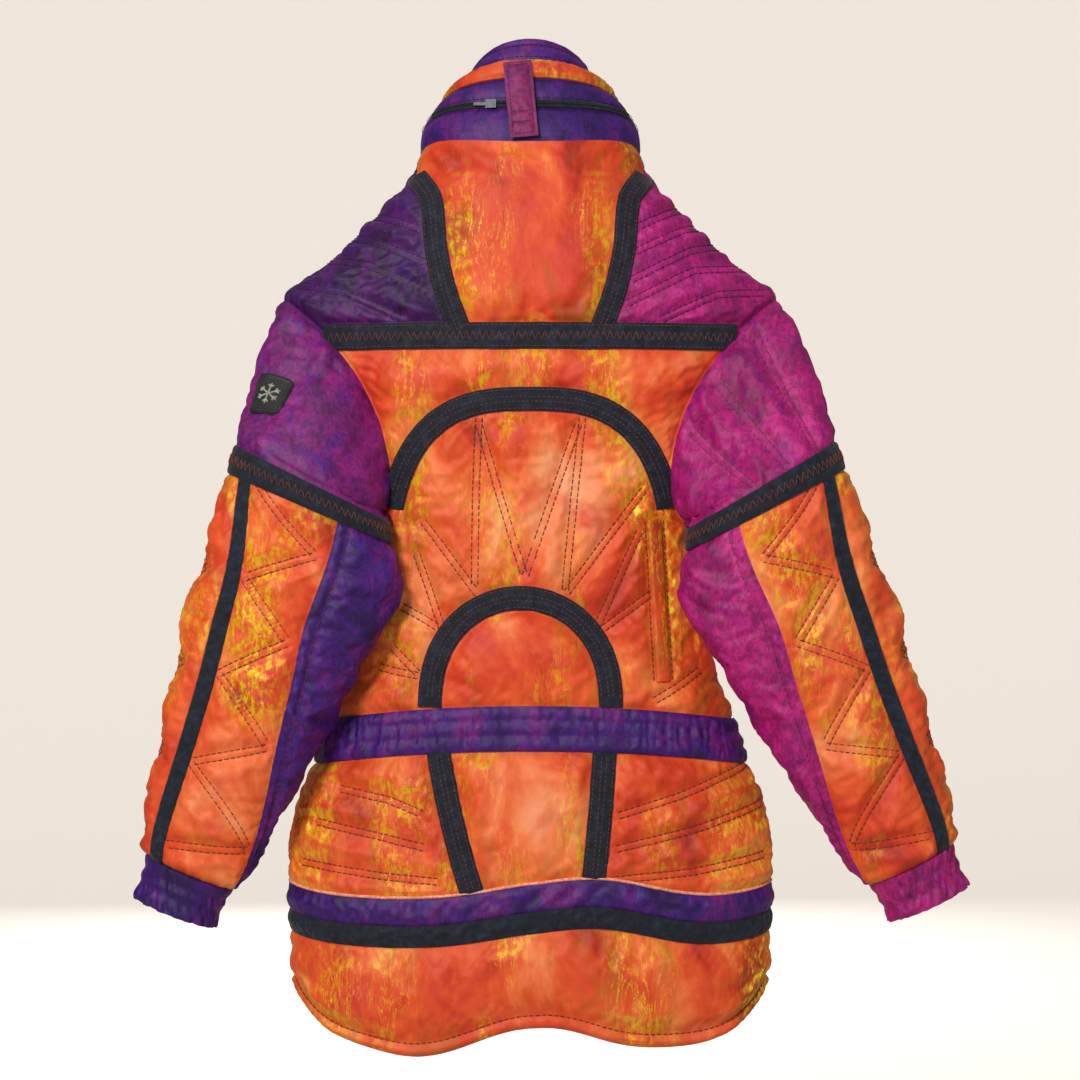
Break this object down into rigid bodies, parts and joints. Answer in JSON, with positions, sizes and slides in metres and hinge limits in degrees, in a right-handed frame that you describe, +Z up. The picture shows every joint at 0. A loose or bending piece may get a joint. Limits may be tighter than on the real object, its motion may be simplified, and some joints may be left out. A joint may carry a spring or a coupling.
{
  "type": "ski jacket",
  "caption": "Long insulated ski jacket in panels of orange, violet and magenta cloth with navy tapes, a high zip collar, storm flap and gathered cuffs.",
  "frame": {"origin": "in the middle of the opening at the hem, with the lowest point of the hem at height zero", "axes": "+X to the wearer's left, +Y to the wearer's back, +Z up"},
  "size_m": [0.7634, 0.1968, 0.9406],
  "materials": {
    "orange": "iridescent coated cloth with a crumpled gold sheen",
    "violet": "mottled cloth",
    "plum": "mottled cloth",
    "magenta": "mottled cloth",
    "navy": "woven tape",
    "zip": "moulded teeth on woven tape",
    "lining": "plain taffeta",
    "wadding": "bonded polyester wadding",
    "metal": "satin",
    "rubber": "matt"
  },
  "bodies": {
    "jacket_body": {"back_yoke": "orange", "left_shoulder": "violet", "right_shoulder": "magenta", "back_panel": "orange", "side_panels": "orange", "back_waistband": "violet", "back_skirt": "orange", "back_hem_band": "violet", "back_hem_panel": "orange", "yoke_tapes": "navy", "arch_tapes": "navy", "skirt_tapes": "navy", "back_welt": "orange", "back_collar": "violet", "collar_roll": "orange", "collar_top": "violet", "collar_zip": "navy", "stowed_hood": "violet", "hang_loop": "navy", "back_lining": "lining", "back_wadding": "wadding"},
    "left_front_half": {"left_front": "orange", "left_front_skirt": "orange", "left_front_bands": "violet", "left_front_tape": "navy", "left_front_collar": "violet", "left_front_lining": "lining", "left_zip": "zip"},
    "right_front_half": {"right_front": "orange", "right_front_skirt": "orange", "right_front_bands": "violet", "right_front_tape": "navy", "right_front_collar": "violet", "right_front_lining": "lining", "right_zip": "zip", "snap_studs": "metal"},
    "left_upper_sleeve": {"left_sleeve_cap": "plum", "left_upper_outer": "orange", "left_upper_under": "violet", "left_upper_tapes": "navy", "badge": "rubber"},
    "left_lower_sleeve": {"left_forearm_outer": "orange", "left_forearm_under": "violet", "left_forearm_tape": "navy", "left_cuff": "violet"},
    "right_upper_sleeve": {"right_sleeve_cap": "magenta", "right_upper_outer": "orange", "right_upper_under": "magenta", "right_upper_tapes": "navy"},
    "right_lower_sleeve": {"right_forearm_outer": "orange", "right_forearm_under": "magenta", "right_forearm_tape": "navy", "right_cuff": "magenta"},
    "flap": {"storm_flap": "orange", "snap_caps": "metal"},
    "zip_slider": {"main_slider": "metal"},
    "zip_pull": {"main_pull": "metal"},
    "hood_slider": {"collar_slider": "metal"},
    "strap": {"collar_strap": "magenta"}
  },
  "joints": [
    {"name": "left_shoulder_raise", "type": "hinge", "parent": "jacket_body", "child": "left_upper_sleeve", "pos_m": [0.23, 0.04, 0.7], "axis": [0, -1, 0], "range_deg": [0, 70], "stiffness_Nm_per_rad": 6},
    {"name": "right_shoulder_raise", "type": "hinge", "parent": "jacket_body", "child": "right_upper_sleeve", "pos_m": [-0.23, 0.04, 0.7], "axis": [0, 1, 0], "range_deg": [0, 70], "stiffness_Nm_per_rad": 6},
    {"name": "left_elbow_bend", "type": "hinge", "parent": "left_upper_sleeve", "child": "left_lower_sleeve", "pos_m": [0.28765, 0.01167, 0.34093], "axis": [-0.7791, -0.5736, -0.2531], "range_deg": [0, 75], "stiffness_Nm_per_rad": 2.5},
    {"name": "right_elbow_bend", "type": "hinge", "parent": "right_upper_sleeve", "child": "right_lower_sleeve", "pos_m": [-0.31256, 0.01167, 0.34583], "axis": [-0.7595, 0.5736, 0.3069], "range_deg": [0, 75], "stiffness_Nm_per_rad": 2.5},
    {"name": "left_front_open", "type": "hinge", "parent": "jacket_body", "child": "left_front_half", "pos_m": [0.085, -0.07, 0.83], "axis": [-0.1546, -0.0428, 0.987], "range_deg": [0, 40], "stiffness_Nm_per_rad": 3},
    {"name": "right_front_open", "type": "hinge", "parent": "jacket_body", "child": "right_front_half", "pos_m": [-0.085, -0.07, 0.83], "axis": [-0.1546, 0.0428, -0.987], "range_deg": [0, 40], "stiffness_Nm_per_rad": 3},
    {"name": "storm_flap_open", "type": "hinge", "parent": "left_front_half", "child": "flap", "pos_m": [0.023, -0.0746, 0.435], "axis": [0, 0, 1], "range_deg": [0, 110], "stiffness_Nm_per_rad": 0.3},
    {"name": "zip_slide", "type": "slide", "parent": "left_front_half", "child": "zip_slider", "axis": [0, 0, -1], "range_m": [0, 0.74], "stiffness_N_per_m": 60},
    {"name": "zip_pull_swing", "type": "hinge", "parent": "zip_slider", "child": "zip_pull", "pos_m": [0, -0.0688, 0.85315], "axis": [-1, 0, 0], "range_deg": [0, 150], "stiffness_Nm_per_rad": 0.002},
    {"name": "hood_zip_slide", "type": "hinge", "parent": "jacket_body", "child": "hood_slider", "pos_m": [0, -0.143, 0.874], "axis": [0, 0, 1], "range_deg": [0, 20], "stiffness_Nm_per_rad": 0.05},
    {"name": "collar_strap_lift", "type": "hinge", "parent": "jacket_body", "child": "strap", "pos_m": [0.012, 0.052, 0.914], "axis": [0.9959, 0, -0.0905], "range_deg": [0, 120], "stiffness_Nm_per_rad": 0.05}
  ],
  "couplings": [
    {"joint": "right_front_open", "follows": "left_front_open", "ratio": 1}
  ]
}
